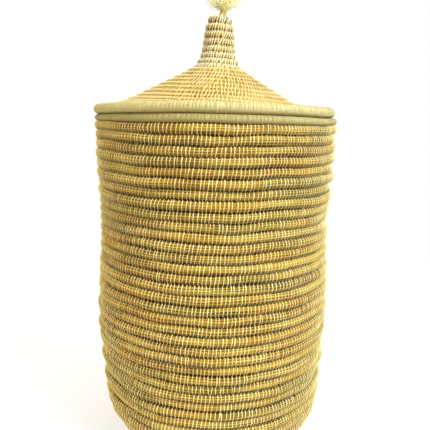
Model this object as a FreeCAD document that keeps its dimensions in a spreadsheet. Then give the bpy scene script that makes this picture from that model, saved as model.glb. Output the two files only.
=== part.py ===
import FreeCAD, Part
import math
import os
import Sketcher

# A lidded laundry basket of coiled grass. A rope of grass is wound round and
# round, and each turn, or course, is lashed to the one before it. The courses
# are closed rings here, pressed flat where they meet. The frame has +Z up and
# its origin at the centre of the flat underside. Lengths are in millimetres.

DRIVING = {
    # Basket
    "coil_pitch": 16.0,
    "coil_radius": 8.35,
    "course_gap": 0.02,
    "base_turns": 6,
    "wall_courses": 40,
    "heel_bend": 96.5,
    "heel_taper": 4.0,
    "wall_low_radius": 198.2,
    "wall_low_height": 175.0,
    "belly_radius": 201.4,
    "belly_height": 270.0,
    "middle_radius": 198.1,
    "middle_height": 350.0,
    "waist_radius": 195.3,
    "waist_height": 429.0,
    "shoulder_radius": 199.9,
    "shoulder_height": 508.0,
    "mouth_radius": 200.2,
    "mouth_height": 590.0,
    # Raffia-wrapped coils at the mouth and round the lid
    "mouth_rim_radius": 6.7,
    "mouth_rim_land": 6.3,
    "mouth_rim_outer": 210.0,
    "lid_rim_radius": 8.3,
    "lid_rim_land": 7.9,
    "lid_rim_outer": 211.4,
    "rim_gap": 0.3,
    # Lid
    "lid_courses": 12,
    "lid_pitch": 14.2,
    "lid_coil_radius": 7.5,
    "lid_start_drop": 2.2,
    "lid_foot_radius": 174.0,
    "lid_foot_rise": 8.0,
    "lid_mid_radius": 118.0,
    "lid_mid_rise": 28.6,
    "lid_upper_radius": 66.0,
    "lid_upper_rise": 55.2,
    "throat_radius": 33.6,
    "throat_rise": 78.0,
    "neck_foot_radius": 25.0,
    "neck_foot_rise": 97.0,
    "neck_mid_radius": 21.6,
    "neck_mid_rise": 122.0,
    "neck_head_radius": 16.2,
    "neck_head_rise": 148.0,
    "crown_radius": 11.6,
    "crown_rise": 158.0,
    "neck_courses": 8,
    "neck_pitch": 11.6,
    "neck_coil_radius": 6.1,
    # Ring under the lid that drops inside the mouth
    "seat_coil_radius": 6.2,
    "seat_pitch": 11.8,
    "seat_inset": 5.1,
    # Raffia tuft and the knot that holds it in the neck
    "knot_below": 14.0,
    "knot_above": 8.0,
    "tuft_gap": 0.5,
    "tuft_foot_radius": 5.5,
    "tuft_radius": 36.0,
    "tuft_skirt_drop": 12.0,
    "tuft_height": 55.0,
}

PARTS_FOLDER = "parts"
QUARTER_TURN = math.pi / 2
FULL_TURN = 2 * math.pi

doc = FreeCAD.newDocument("laundry_basket")
sheet = doc.addObject("Spreadsheet::Sheet", "Sizes")
size_values = {}


def add_size(alias, value):
    """Puts one number in the sheet, with its name beside it."""
    size_values[alias] = value
    row = len(size_values)
    sheet.set(f"A{row}", alias)
    sheet.set(f"B{row}", str(round(value, 6)))
    sheet.setAlias(f"B{row}", alias)


def size(alias):
    """One number of the sheet."""
    return size_values[alias]


for driving_name, driving_value in DRIVING.items():
    add_size(driving_name, driving_value)


# ---------------------------------------------------------------- outlines
# An outline is the line that the centres of the courses lie on, as a list of
# (radius, height) vectors in the half-plane X >= 0.


def point(radius, height):
    """A point of the half-plane."""
    return FreeCAD.Vector(radius, 0, height)


def spline_points(stations, first_heading, last_heading, steps=600):
    """Points along a smooth curve through stations, with given end headings."""
    curve = Part.BSplineCurve()
    curve.interpolate(
        Points=stations,
        InitialTangent=point(math.cos(first_heading), math.sin(first_heading)) * 120,
        FinalTangent=point(math.cos(last_heading), math.sin(last_heading)) * 60,
        Scale=True,
    )
    return curve.toShape().discretize(Number=steps)


def wall_outline():
    """From the last turn of the flat base, round the heel and up to the mouth."""
    level = size("coil_radius")
    foot = size("base_turns") * size("coil_pitch")
    bend = size("heel_bend")
    taper = math.radians(size("heel_taper"))
    heel = []
    steps = 120
    for step in range(steps):
        turn = -QUARTER_TURN + (QUARTER_TURN - taper) * step / steps
        heel.append(
            point(foot + bend * math.cos(turn), level + bend + bend * math.sin(turn))
        )
    stations = [
        point(foot + bend * math.cos(taper), level + bend - bend * math.sin(taper)),
    ]
    for station in ("wall_low", "belly", "middle", "waist", "shoulder", "mouth"):
        stations.append(point(size(station + "_radius"), size(station + "_height")))
    straight = [point((size("base_turns") - 0.5) * size("coil_pitch"), level)]
    wall = spline_points(stations, QUARTER_TURN - taper, QUARTER_TURN)
    top = wall[-1]
    return straight + heel + wall + [top + point(0, 3 * size("coil_pitch"))]


def lid_outline(start, mouth_level):
    """From the first course of the lid, up the cone and the neck to the crown."""
    stations = [start]
    for station in (
        "lid_foot",
        "lid_mid",
        "lid_upper",
        "throat",
        "neck_foot",
        "neck_mid",
        "neck_head",
        "crown",
    ):
        rise = mouth_level + size(station + "_rise")
        stations.append(point(size(station + "_radius"), rise))
    path = spline_points(stations, math.pi - math.radians(12), math.pi - math.radians(60))
    return path + [path[-1] + (path[-1] - path[-2]).normalize() * 30]


def walk(path, start, distance, count):
    """Centres along a path, each a straight distance from the one before, the
    first of them that distance from start."""
    centres = []
    here = start
    n = 0
    while len(centres) < count:
        while (path[n + 1] - here).Length < distance or n == 0:
            n += 1
        inner, outer = 0.0, 1.0
        for _ in range(40):
            share = (inner + outer) / 2
            trial = path[n] + (path[n + 1] - path[n]) * share
            if (trial - here).Length < distance:
                inner = share
            else:
                outer = share
        here = path[n] + (path[n + 1] - path[n]) * outer
        centres.append(here)
    return centres


# ---------------------------------------------------------------- sections


def heading(start, end):
    """The direction from one centre to another, in radians."""
    return math.atan2(end.z - start.z, end.x - start.x)


def on_circle(centre, radius, angle):
    """A point on a circle round a centre, as sketch coordinates."""
    return (centre.x + radius * math.cos(angle), centre.z + radius * math.sin(angle))


def tidy_degrees(angle):
    """An angle in degrees between -180 and 180."""
    return (math.degrees(angle) + 180) % 360 - 180


class Section:
    """A closed outline in the XZ plane of a body, turned through a circle. Its
    dimensions follow the sheet."""

    def __init__(self, name):
        self.name = name
        self.body = doc.addObject("PartDesign::Body", name)
        self.body.Label = name
        self.sketch = self.body.newObject("Sketcher::SketchObject", name + "_section")
        self.sketch.Label = name + "_section"
        plane = [o for o in self.body.Origin.OriginFeatures if o.Role == "XZ_Plane"][0]
        self.sketch.AttachmentSupport = [(plane, "")]
        self.sketch.MapMode = "FlatFace"
        self.loop = []
        self.arcs = {}

    def line(self, start, end):
        """Adds a straight side."""
        flat = [FreeCAD.Vector(p[0], p[1], 0) for p in (start, end)]
        number = self.sketch.addGeometry(Part.LineSegment(*flat), False)
        self.loop.append(number)
        return number

    def arc(self, key, centre, radius, start, end):
        """Adds an arc that runs anticlockwise. Arcs of one coil share a key."""
        while end <= start:
            end += FULL_TURN
        while end > start + FULL_TURN:
            end -= FULL_TURN
        middle = FreeCAD.Vector(centre.x, centre.z, 0)
        circle = Part.Circle(middle, FreeCAD.Vector(0, 0, 1), radius)
        number = self.sketch.addGeometry(Part.ArcOfCircle(circle, start, end), False)
        self.loop.append(number)
        self.arcs.setdefault(key, []).append(number)
        return number

    def close(self):
        """Joins the sides end to end."""
        for side, following in zip(self.loop, self.loop[1:] + self.loop[:1]):
            self.fix("Coincident", side, 2, following, 1)
        for numbers in self.arcs.values():
            for other in numbers[1:]:
                self.fix("Coincident", numbers[0], 3, other, 3)
        every = [number for numbers in self.arcs.values() for number in numbers]
        for other in every[1:]:
            self.fix("Equal", every[0], other)

    def fix(self, kind, *what):
        """Adds a constraint."""
        return self.sketch.addConstraint(Sketcher.Constraint(kind, *what))

    def bind(self, label, expression, kind, *what):
        """Adds a named dimension that follows the sheet."""
        number = self.fix(kind, *what)
        self.sketch.renameConstraint(number, label)
        self.sketch.setExpression("Constraints." + label, expression)

    def turn(self):
        """Turns the section through a full circle about Z."""
        turned = self.body.newObject("PartDesign::Revolution", self.name + "_turn")
        turned.Profile = self.sketch
        turned.ReferenceAxis = (self.sketch, ["V_Axis"])
        turned.Angle = 360
        self.sketch.Visibility = False
        return self.body


class Land:
    """A flat where a coil is pressed against a neighbour."""

    def __init__(self, label, centre, neighbour, radius, distance_alias):
        self.label = label
        self.alias = distance_alias
        self.distance = size(distance_alias)
        self.facing = heading(centre, neighbour)
        self.spread = math.acos(self.distance / radius)
        self.first = self.facing - self.spread
        self.last = self.facing + self.spread


def bind_lands(section, name, key, lines):
    """Ties each flat to its distance from the centre and to its lean."""
    for land, number in lines:
        lean = tidy_degrees(land.facing + QUARTER_TURN)
        alias = f"{name}_{land.label}_lean"
        add_size(alias, lean)
        arc = section.arcs[key][0]
        section.bind(
            land.label + "_gap", "Sizes." + land.alias, "Distance", arc, 3, number, land.distance
        )
        section.bind(
            land.label + "_lean", "Sizes." + alias, "Angle", number, math.radians(lean)
        )


def bind_centre(section, name, key, centre):
    """Ties the centre of a coil to the sheet."""
    add_size(f"{name}_{key}_radius", centre.x)
    add_size(f"{name}_{key}_height", centre.z)
    arc = section.arcs[key][0]
    section.bind(
        f"{key}_reach", f"Sizes.{name}_{key}_radius", "DistanceX", -1, 1, arc, 3, centre.x
    )
    section.bind(
        f"{key}_rise", f"Sizes.{name}_{key}_height", "DistanceY", -1, 1, arc, 3, centre.z
    )


def coil(name, centre, radius_alias, neighbours):
    """One course as a ring. neighbours are (label, centre, alias of the distance
    to the flat) for each coil it is pressed against."""
    radius = size(radius_alias)
    lands = [Land(label, centre, near, radius, gap) for label, near, gap in neighbours]
    lands.sort(key=lambda land: land.facing)
    section = Section(name)
    lines = []
    for land, following in zip(lands, lands[1:] + lands[:1]):
        ends = [on_circle(centre, radius, angle) for angle in (land.first, land.last)]
        lines.append((land, section.line(*ends)))
        section.arc("coil", centre, radius, land.last, following.first)
    section.close()
    section.bind("coil_round", "Sizes." + radius_alias, "Radius", section.loop[1], radius)
    bind_centre(section, name, "coil", centre)
    bind_lands(section, name, "coil", lines)
    return section.turn()


def merged_coils(name, centres, radius_alias, pitch_alias, first_neighbour):
    """Several turns of rope as one ring, from the one pressed against
    first_neighbour to a free last turn."""
    radius = size(radius_alias)
    spread = math.acos(size(pitch_alias) / 2 / radius)
    near, gap = first_neighbour
    land = Land("joint", centres[0], near, radius, gap)
    section = Section(name)
    ends = [on_circle(centres[0], radius, angle) for angle in (land.first, land.last)]
    line = section.line(*ends)
    last = len(centres) - 1
    start = land.last
    for n in range(last):
        onward = heading(centres[n], centres[n + 1])
        section.arc(f"turn{n + 1}", centres[n], radius, start, onward - spread)
        start = onward + math.pi + spread
    back = heading(centres[last], centres[last - 1])
    section.arc(f"turn{last + 1}", centres[last], radius, start, back - spread)
    for n in reversed(range(last)):
        onward = heading(centres[n], centres[n + 1])
        if n:
            end = heading(centres[n], centres[n - 1]) - spread
        else:
            end = land.first
        section.arc(f"turn{n + 1}", centres[n], radius, onward + spread, end)
    section.close()
    section.bind("coil_round", "Sizes." + radius_alias, "Radius", section.loop[1], radius)
    for n, centre in enumerate(centres):
        bind_centre(section, name, f"turn{n + 1}", centre)
    bind_lands(section, name, "turn1", [(land, line)])
    return section.turn()


def base_coil(name, neighbour):
    """The flat bottom: turns of rope from the centre outward, level below."""
    radius = size("coil_radius")
    pitch = size("coil_pitch")
    turns = int(size("base_turns"))
    spread = math.acos(pitch / 2 / radius)
    centres = [point((n + 0.5) * pitch, radius) for n in range(turns)]
    last = turns - 1
    land = Land("joint", centres[last], neighbour, radius, "course_land")
    section = Section(name)
    floor_line = section.line((0, 0), (centres[last].x, 0))
    section.arc(f"turn{turns}", centres[last], radius, -QUARTER_TURN, land.first)
    ends = [on_circle(centres[last], radius, angle) for angle in (land.first, land.last)]
    line = section.line(*ends)
    section.arc(f"turn{turns}", centres[last], radius, land.last, math.pi - spread)
    for n in reversed(range(1, last)):
        section.arc(f"turn{n + 1}", centres[n], radius, spread, math.pi - spread)
    crest = section.arc("turn1", centres[0], radius, spread, QUARTER_TURN)
    button = section.line((centres[0].x, 2 * radius), (0, 2 * radius))
    axis_line = section.line((0, 2 * radius), (0, 0))
    section.close()
    section.bind("button_reach", "Sizes.coil_pitch / 2", "DistanceX", -1, 1, crest, 2, pitch / 2)
    section.fix("Horizontal", button)
    section.fix("Coincident", floor_line, 1, -1, 1)
    section.bind("floor_reach", "Sizes.base_reach", "DistanceX", -1, 1, floor_line, 2, centres[last].x)
    section.fix("Vertical", axis_line)
    section.bind("coil_round", "Sizes.coil_radius", "Radius", section.loop[1], radius)
    outer = section.arcs[f"turn{turns}"][0]
    section.bind("turn_reach", "Sizes.base_reach", "DistanceX", -1, 1, outer, 3, centres[last].x)
    section.bind("turn_rise", "Sizes.coil_radius", "DistanceY", -1, 1, outer, 3, radius)
    for n in range(last):
        arc = section.arcs[f"turn{n + 1}"][0]
        reach = centres[n].x
        expression = f"Sizes.coil_pitch * {n + 0.5}"
        section.bind(f"turn{n + 1}_reach", expression, "DistanceX", -1, 1, arc, 3, reach)
        section.bind(f"turn{n + 1}_rise", "Sizes.coil_radius", "DistanceY", -1, 1, arc, 3, radius)
    bind_lands(section, name, f"turn{turns}", [(land, line)])
    return section.turn()


# ---------------------------------------------------------------- the basket

add_size("course_land", (size("coil_pitch") - size("course_gap")) / 2)
add_size("lid_land", (size("lid_pitch") - size("course_gap")) / 2)
add_size("neck_land", (size("neck_pitch") - size("course_gap")) / 2)
add_size("seat_land", size("seat_coil_radius") - 0.2)
add_size("base_reach", (size("base_turns") - 0.5) * size("coil_pitch"))

base_edge = point(size("base_reach"), size("coil_radius"))
wall = walk(wall_outline(), base_edge, size("coil_pitch"), int(size("wall_courses")))

mouth_rim_x = size("mouth_rim_outer") - size("mouth_rim_radius")
rim_step = size("course_land") + size("mouth_rim_land") + size("course_gap")
rim_rise = math.sqrt(rim_step**2 - (mouth_rim_x - wall[-1].x) ** 2)
mouth_rim = point(mouth_rim_x, wall[-1].z + rim_rise)
mouth_level = mouth_rim.z + size("mouth_rim_radius")

lid_rim = point(
    size("lid_rim_outer") - size("lid_rim_radius"),
    mouth_level + size("rim_gap") + size("lid_rim_radius"),
)
lid_step = size("lid_rim_land") + size("lid_land") + size("course_gap")
lid_run = math.sqrt(lid_step**2 - size("lid_start_drop") ** 2)
lid_first = point(lid_rim.x - lid_run, lid_rim.z - size("lid_start_drop"))
lid_path = lid_outline(lid_first, mouth_level)
cone = [lid_first]
cone += walk(lid_path, lid_first, size("lid_pitch"), int(size("lid_courses")) - 1)
neck_start_step = size("lid_land") + size("neck_land") + size("course_gap")
beyond = [p for p in lid_path if p.z > cone[-1].z and p.x < cone[-1].x]
neck = walk([cone[-1]] + beyond, cone[-1], neck_start_step, 1)
beyond = [p for p in beyond if p.z > neck[0].z]
neck += walk([neck[0]] + beyond, neck[0], size("neck_pitch"), int(size("neck_courses")) - 1)

seat_step = size("lid_land") + size("seat_land") + size("course_gap")
seat_drop = math.sqrt(seat_step**2 - size("seat_inset") ** 2)
seat = [lid_first - point(size("seat_inset"), seat_drop)]
seat.append(seat[0] - point(0, size("seat_pitch")))

parts = [base_coil("base_coil", wall[0])]
for n, centre in enumerate(wall):
    if n:
        below = ("below", wall[n - 1], "course_land")
    else:
        below = ("below", base_edge, "course_land")
    if n + 1 < len(wall):
        above = ("above", wall[n + 1], "course_land")
    else:
        above = ("above", mouth_rim, "course_land")
    parts.append(coil(f"wall_course_{n + 1:02d}", centre, "coil_radius", [below, above]))
parts.append(
    coil("mouth_rim", mouth_rim, "mouth_rim_radius", [("below", wall[-1], "mouth_rim_land")])
)

# ------------------------------------------------------------------- the lid

parts.append(coil("lid_rim", lid_rim, "lid_rim_radius", [("inner", cone[0], "lid_rim_land")]))
for n, centre in enumerate(cone):
    neighbours = []
    if n:
        neighbours.append(("outer", cone[n - 1], "lid_land"))
    else:
        neighbours.append(("outer", lid_rim, "lid_land"))
        neighbours.append(("under", seat[0], "lid_land"))
    if n + 1 < len(cone):
        neighbours.append(("inner", cone[n + 1], "lid_land"))
    else:
        neighbours.append(("inner", neck[0], "lid_land"))
    parts.append(coil(f"lid_course_{n + 1:02d}", centre, "lid_coil_radius", neighbours))
parts.append(
    merged_coils(
        "lid_seat_ring", seat, "seat_coil_radius", "seat_pitch", (cone[0], "seat_land")
    )
)
parts.append(
    merged_coils("neck_coil", neck, "neck_coil_radius", "neck_pitch", (cone[-1], "neck_land"))
)

# ------------------------------------------------------------------ the tuft

crown = neck[-1]
add_size("hole_radius", crown.x - size("neck_coil_radius"))
add_size("knot_foot_height", crown.z - size("knot_below"))
add_size("knot_top_height", crown.z + size("knot_above"))
add_size(
    "pivot_height", size("knot_top_height") + size("tuft_gap") + size("tuft_foot_radius")
)
add_size("dome_height", size("pivot_height") + size("tuft_height") - size("tuft_radius"))
add_size("skirt_height", size("dome_height") - size("tuft_skirt_drop"))


def tuft_knot(name):
    """The end of the raffia bundle, wedged in the hole at the top of the neck."""
    doc.recompute()
    knot = doc.addObject("Part::Cylinder", name)
    knot.Label = name
    knot.setExpression("Radius", "Sizes.hole_radius")
    knot.setExpression("Height", "Sizes.knot_top_height - Sizes.knot_foot_height")
    knot.setExpression("Placement.Base.z", "Sizes.knot_foot_height")
    return knot


def tuft_dome(name):
    """The loose tuft: a small round foot under a wide rounded head."""
    foot_radius = size("tuft_foot_radius")
    pivot = point(0, size("pivot_height"))
    dome = point(0, size("dome_height"))
    dip = -math.asin(size("tuft_skirt_drop") / size("tuft_radius"))
    section = Section(name)
    foot = section.arc("foot", pivot, foot_radius, -QUARTER_TURN, 0)
    skirt = section.line(
        on_circle(pivot, foot_radius, 0), on_circle(dome, size("tuft_radius"), dip)
    )
    head = section.arc("head", dome, size("tuft_radius"), dip, QUARTER_TURN)
    axis = section.line((0, dome.z + size("tuft_radius")), (0, pivot.z - foot_radius))
    for side, following in ((foot, skirt), (skirt, head), (head, axis), (axis, foot)):
        section.fix("Coincident", side, 2, following, 1)
    for arc in (foot, head):
        section.fix("PointOnObject", arc, 3, -2)
    section.fix("PointOnObject", foot, 1, -2)
    section.fix("PointOnObject", head, 2, -2)
    section.bind("foot_round", "Sizes.tuft_foot_radius", "Radius", foot, foot_radius)
    section.bind("head_round", "Sizes.tuft_radius", "Radius", head, size("tuft_radius"))
    section.bind("pivot", "Sizes.pivot_height", "DistanceY", -1, 1, foot, 3, pivot.z)
    section.bind("pivot_level", "Sizes.pivot_height", "DistanceY", -1, 1, foot, 2, pivot.z)
    section.bind("dome", "Sizes.dome_height", "DistanceY", -1, 1, head, 3, dome.z)
    section.bind("skirt", "Sizes.skirt_height", "DistanceY", -1, 1, head, 1, size("skirt_height"))
    return section.turn()


parts.append(tuft_knot("tuft_knot"))
parts.append(tuft_dome("tuft"))

# ------------------------------------------------------------------- writing

doc.recompute()
for item in doc.Objects:
    if "Invalid" in item.State or "Error" in item.State:
        raise ValueError(f"{item.Name} did not recompute: {item.State}")
for item in doc.Objects:
    if item.isDerivedFrom("Sketcher::SketchObject") and not item.FullyConstrained:
        raise ValueError(f"{item.Name} is not fully constrained")
os.makedirs(PARTS_FOLDER, exist_ok=True)
for part in parts:
    if part.Shape.isNull() or not part.Shape.isValid():
        raise ValueError(f"{part.Label} has no valid shape")
    part.Shape.exportStep(os.path.join(PARTS_FOLDER, part.Label + ".step"))
    reach = part.Shape.optimalBoundingBox()
    print(part.Label, round(reach.XMax, 2), round(reach.ZMin, 2), round(reach.ZMax, 2))
for turn, centre in enumerate(neck):
    print("neck turn", turn + 1, round(centre.x, 2), round(centre.z, 2))
print(len(parts), "parts, mouth", round(mouth_level, 3), "pivot", round(size("pivot_height"), 3))
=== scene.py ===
"""The look of a coiled grass laundry basket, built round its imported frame.

A rope of dry grass is wound course on course and lashed with raffia. Each CAD
ring gives the place of one course; here it becomes a bundle of grass blades
with its own lashing. Lengths are in metres and Z is up.
"""

import logging  # noqa: E402
import math  # noqa: E402
from dataclasses import dataclass, replace  # noqa: E402
from enum import Enum  # noqa: E402

import bpy  # noqa: E402
import numpy as np  # noqa: E402
from mathutils import Matrix, Vector  # noqa: E402


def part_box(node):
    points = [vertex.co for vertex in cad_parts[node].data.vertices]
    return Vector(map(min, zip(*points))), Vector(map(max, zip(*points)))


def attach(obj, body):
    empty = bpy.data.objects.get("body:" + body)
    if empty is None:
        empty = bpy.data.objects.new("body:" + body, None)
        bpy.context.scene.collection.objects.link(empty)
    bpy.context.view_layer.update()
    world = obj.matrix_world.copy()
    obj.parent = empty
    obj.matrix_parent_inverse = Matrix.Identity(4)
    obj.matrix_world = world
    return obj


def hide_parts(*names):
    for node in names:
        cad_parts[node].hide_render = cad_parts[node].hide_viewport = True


MM = 0.001
FULL_TURN = 2 * math.pi
TINT = "tint"
RISE = "rise"
TINT_SPREAD = (1.6, 2.4)

Colour = tuple[float, float, float]
Place = tuple[float, float, float]
Pair = tuple[float, float]

logging.basicConfig(level=logging.INFO, format="%(message)s")
log = logging.getLogger("basket")

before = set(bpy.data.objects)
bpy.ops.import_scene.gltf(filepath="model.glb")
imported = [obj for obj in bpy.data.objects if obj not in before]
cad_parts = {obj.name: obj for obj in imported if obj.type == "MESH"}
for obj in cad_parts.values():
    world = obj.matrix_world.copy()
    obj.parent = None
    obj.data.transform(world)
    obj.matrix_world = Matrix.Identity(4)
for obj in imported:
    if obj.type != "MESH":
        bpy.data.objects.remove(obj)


class Body(Enum):
    """The bodies of the frame that pieces ride on."""

    BASKET = "basket"
    LID = "lid"
    TASSEL = "tassel"


class Slot(Enum):
    """The record's material slots."""

    WALL = "wall_grass"
    MOUTH = "mouth_raffia"
    LID_RIM = "lid_rim_raffia"
    LID = "lid_grass"
    NECK = "neck_grass"
    TUFT = "tuft_raffia"


# ------------------------------------------------------------------ shaders


class Wire:
    """A node socket that Python arithmetic can be done on."""

    def __init__(self, shader: "Shader", socket: bpy.types.NodeSocket) -> None:
        """Wraps a socket.

        Args:
            shader: the material being made.
            socket: the output to wrap.
        """
        self.shader = shader
        self.socket = socket

    def _math(self, operation: str, first: object, second: object) -> "Wire":
        """Adds a Math node for one operation."""
        return self.shader.node(
            "ShaderNodeMath", {"operation": operation}, {0: first, 1: second}
        )

    def __add__(self, other: object) -> "Wire":
        """Sum."""
        return self._math("ADD", self, other)

    __radd__ = __add__

    def __sub__(self, other: object) -> "Wire":
        """Difference."""
        return self._math("SUBTRACT", self, other)

    def __rsub__(self, other: object) -> "Wire":
        """Difference, the other way round."""
        return self._math("SUBTRACT", other, self)

    def __mul__(self, other: object) -> "Wire":
        """Product."""
        return self._math("MULTIPLY", self, other)

    __rmul__ = __mul__

    def times(self, factors: Place) -> "Wire":
        """A vector stretched along its axes."""
        return self.shader.node(
            "ShaderNodeVectorMath", {"operation": "MULTIPLY"}, {0: self, 1: factors}
        )

    def plus(self, other: "Wire") -> "Wire":
        """The sum of two vectors."""
        return self.shader.node(
            "ShaderNodeVectorMath", {"operation": "ADD"}, {0: self, 1: other}
        )

    def between(self, low: float, high: float) -> "Wire":
        """0 below low, 1 above high, and smooth in between."""
        return self.shader.node(
            "ShaderNodeMapRange",
            {"interpolation_type": "SMOOTHSTEP"},
            {"Value": self, "From Min": low, "From Max": high},
        )


class Shader:
    """One material and the nodes inside it."""

    def __init__(self, name: str) -> None:
        """Starts an empty material.

        Args:
            name: the material's name.
        """
        self.material = bpy.data.materials.new(name)
        self.material.use_nodes = True
        self.tree = self.material.node_tree
        self.tree.nodes.clear()

    def node(
        self, kind: str, settings: dict[str, object], inputs: dict[object, object]
    ) -> Wire:
        """Adds a node.

        Args:
            kind: the node's type.
            settings: its properties, set first.
            inputs: values or wires, by socket name or number.

        Returns:
            Its first live output.
        """
        made = self.tree.nodes.new(kind)
        for key, value in settings.items():
            setattr(made, key, value)
        for key, value in inputs.items():
            if isinstance(value, Wire):
                self.tree.links.new(value.socket, made.inputs[key])
            else:
                made.inputs[key].default_value = value
        live = [out for out in made.outputs if out.enabled]
        return Wire(self, live[0]) if live else Wire(self, None)

    def coordinates(self, which: str) -> Wire:
        """An output of the Texture Coordinate node."""
        made = self.tree.nodes.new("ShaderNodeTexCoord")
        return Wire(self, made.outputs[which])

    def attribute(self, name: str) -> Wire:
        """A number stored on the mesh."""
        made = self.tree.nodes.new("ShaderNodeAttribute")
        made.attribute_name = name
        return Wire(self, made.outputs["Fac"])

    def noise(self, where: Wire, detail: float = 2.0) -> Wire:
        """Smooth noise from 0 to 1, one spot to a unit."""
        return self.node(
            "ShaderNodeTexNoise",
            {},
            {"Vector": where, "Scale": 1.0, "Detail": detail, "Roughness": 0.55},
        )

    def mix(self, share: object, first: object, second: object) -> Wire:
        """A colour between two."""
        made = self.tree.nodes.new("ShaderNodeMix")
        made.data_type = "RGBA"
        for socket, value in (
            (made.inputs[0], share),
            (made.inputs[6], first),
            (made.inputs[7], second),
        ):
            if isinstance(value, Wire):
                self.tree.links.new(value.socket, socket)
            else:
                socket.default_value = value
        return Wire(self, made.outputs[2])

    def bump(self, height: Wire, strength: float, distance: float) -> Wire:
        """A normal bent by a height."""
        return self.node(
            "ShaderNodeBump",
            {},
            {"Height": height, "Strength": strength, "Distance": distance},
        )

    def surface(self, inputs: dict[object, object]) -> bpy.types.Material:
        """Ends the material in one Principled surface.

        Args:
            inputs: the surface's values or wires.

        Returns:
            The finished material.
        """
        skin = self.node("ShaderNodeBsdfPrincipled", {}, inputs)
        self.node("ShaderNodeOutputMaterial", {}, {"Surface": skin})
        return self.material


def rgb(red: float, green: float, blue: float) -> tuple[float, float, float, float]:
    """A display colour from 0 to 255, as the linear colour that shaders use."""
    linear = []
    for part in (red, green, blue):
        share = part / 255
        if share <= 0.04045:
            linear.append(share / 12.92)
        else:
            linear.append(((share + 0.055) / 1.055) ** 2.4)
    return (*linear, 1.0)


@dataclass(frozen=True)
class Spots:
    """Soft spots of another colour, counted to the metre along X, Y and Z."""

    counts: Place
    low: float
    high: float
    share: float = 1.0
    detail: float = 2.0

    def on(self, shader: Shader, place: Wire) -> Wire:
        """How far the other colour covers a place, from 0 to the share."""
        noise = shader.noise(place.times(self.counts), self.detail)
        return noise.between(self.low, self.high) * self.share


@dataclass(frozen=True)
class GrassFinish:
    """A bundle of dry grass blades, running along the piece's own map."""

    name: str
    straw: Colour
    gold: Colour
    brown: Colour
    olive: Colour
    dark: Colour
    olive_share: float = 0.6
    groove_shade_share: float = 0.92
    under_shade_share: float = 0.45
    gap_shade_least: float = 0.25
    ridge_share: float = 0.6
    fine_share: float = 0.45
    wave_scale: float = 0.165
    wave_bend: float = 4.2
    wave_detail_scale: float = 1.1
    shift_by_height: float = 43.75
    relief: float = 2.0 * MM

    def stained(self, shader: Shader, place: Wire) -> Wire:
        """Gold grass with straw, brown and olive stretches."""
        straw = Spots((9.0, 9.0, 56.25), 0.36, 0.64)
        brown = Spots((10.0, 10.0, 68.75), 0.48, 0.64, 0.62, 1.0)
        olive = Spots((4.1, 4.1, 34.375), 0.52, 0.68, self.olive_share, 1.0)
        colour = shader.mix(straw.on(shader, place), rgb(*self.gold), rgb(*self.straw))
        colour = shader.mix(brown.on(shader, place), colour, rgb(*self.brown))
        return shader.mix(olive.on(shader, place), colour, rgb(*self.olive))

    def blades(self, shader: Shader, strands: Wire) -> Wire:
        """Long wavering blades along a rope, from 0 in the gaps to 1 on top."""
        return shader.node(
            "ShaderNodeTexWave",
            {"bands_direction": "Y"},
            {
                "Vector": strands,
                "Scale": self.wave_scale,
                "Distortion": self.wave_bend,
                "Detail": 2.0,
                "Detail Scale": self.wave_detail_scale,
            },
        )

    def build(self) -> bpy.types.Material:
        """Makes the material."""
        shader = Shader(self.name)
        place = shader.coordinates("Object")
        rise = shader.attribute(RISE)
        by_height = place.times((0.0, 0.0, self.shift_by_height))
        strands = shader.coordinates("UV")
        blades = self.blades(shader, strands.plus(by_height))
        fine = shader.noise(strands.times((2.2, 2.6, 1.0)).plus(by_height))
        colour = self.stained(shader, place)
        dark = rgb(*self.dark)
        loose = self.gap_shade_least + Spots((7.0, 7.0, 106.25), 0.36, 0.6, 0.6).on(shader, place)
        # Painted shade: the crevices between blades are darkened, more where the bundle is
        # loose.
        gaps = (1.0 - blades.between(0.08, 0.44)) * loose
        colour = shader.mix(gaps, colour, dark)
        ridges = blades.between(0.7, 0.98) * loose * self.ridge_share
        colour = shader.mix(ridges, colour, rgb(*self.straw))
        threads = (1.0 - fine.between(0.34, 0.5)) * self.fine_share
        colour = shader.mix(threads, colour, rgb(*self.brown))
        # Painted shade: the lower side of each rope is darkened, as if lit from above.
        under = (1.0 - rise.between(-0.75, 0.1)) * self.under_shade_share
        colour = shader.mix(under, colour, dark)
        # Painted shade: the grooves between courses are darkened.
        groove = (rise * rise).between(0.46, 0.84) * self.groove_shade_share
        colour = shader.mix(groove, colour, dark)
        return shader.surface(
            {
                "Base Color": colour,
                "Roughness": 0.7 - fine * 0.25,
                "Specular IOR Level": 0.35,
                "Normal": shader.bump(blades * 0.7 + fine * 0.3, 0.9, self.relief),
            }
        )


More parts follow.
